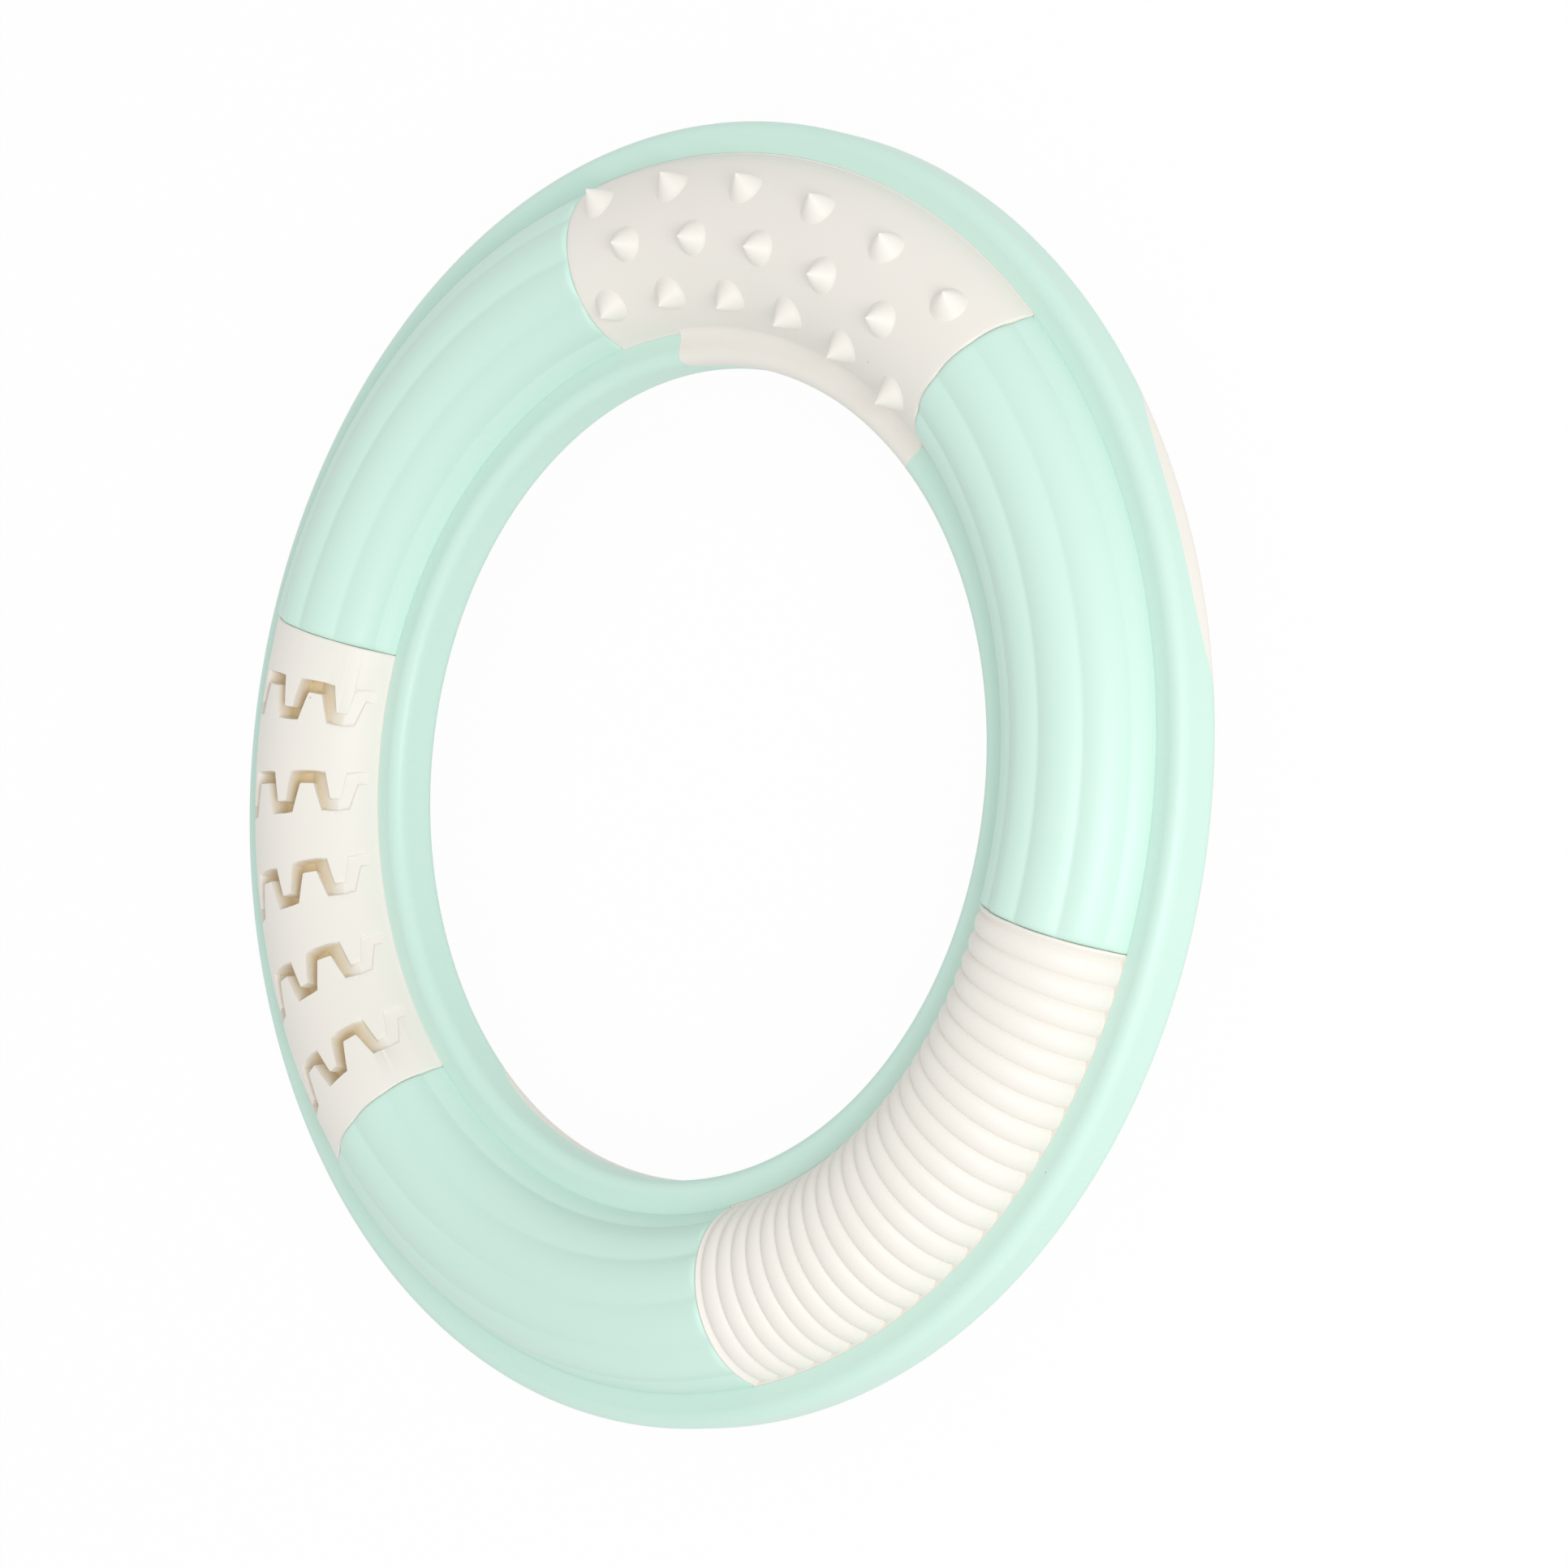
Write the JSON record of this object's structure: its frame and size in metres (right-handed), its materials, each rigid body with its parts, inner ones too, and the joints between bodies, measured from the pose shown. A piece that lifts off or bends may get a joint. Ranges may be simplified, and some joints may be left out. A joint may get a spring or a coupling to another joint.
{
  "type": "rubber chew toy ring",
  "caption": "Flat flanged rubber ring with a lobed tube and seated spiked, zigzag-grooved and ribbed chewing panels on both faces.",
  "frame": {"origin": "centre of the round hole, in the parting plane halfway through the thickness", "axes": "+Z along the hole's axis, out of the front face, with the spiked front panel towards +Y"},
  "size_m": [0.16, 0.16, 0.0268],
  "materials": {
    "mint_rubber": "matte",
    "cream_rubber": "matte"
  },
  "bodies": {
    "root": {"front_shell": "mint_rubber", "back_shell": "mint_rubber", "front_spiked_panel": "cream_rubber", "front_zigzag_panel": "cream_rubber", "front_ribbed_panel": "cream_rubber", "back_spiked_panel": "cream_rubber", "back_zigzag_panel": "cream_rubber", "back_ribbed_panel": "cream_rubber"}
  },
  "joints": []
}
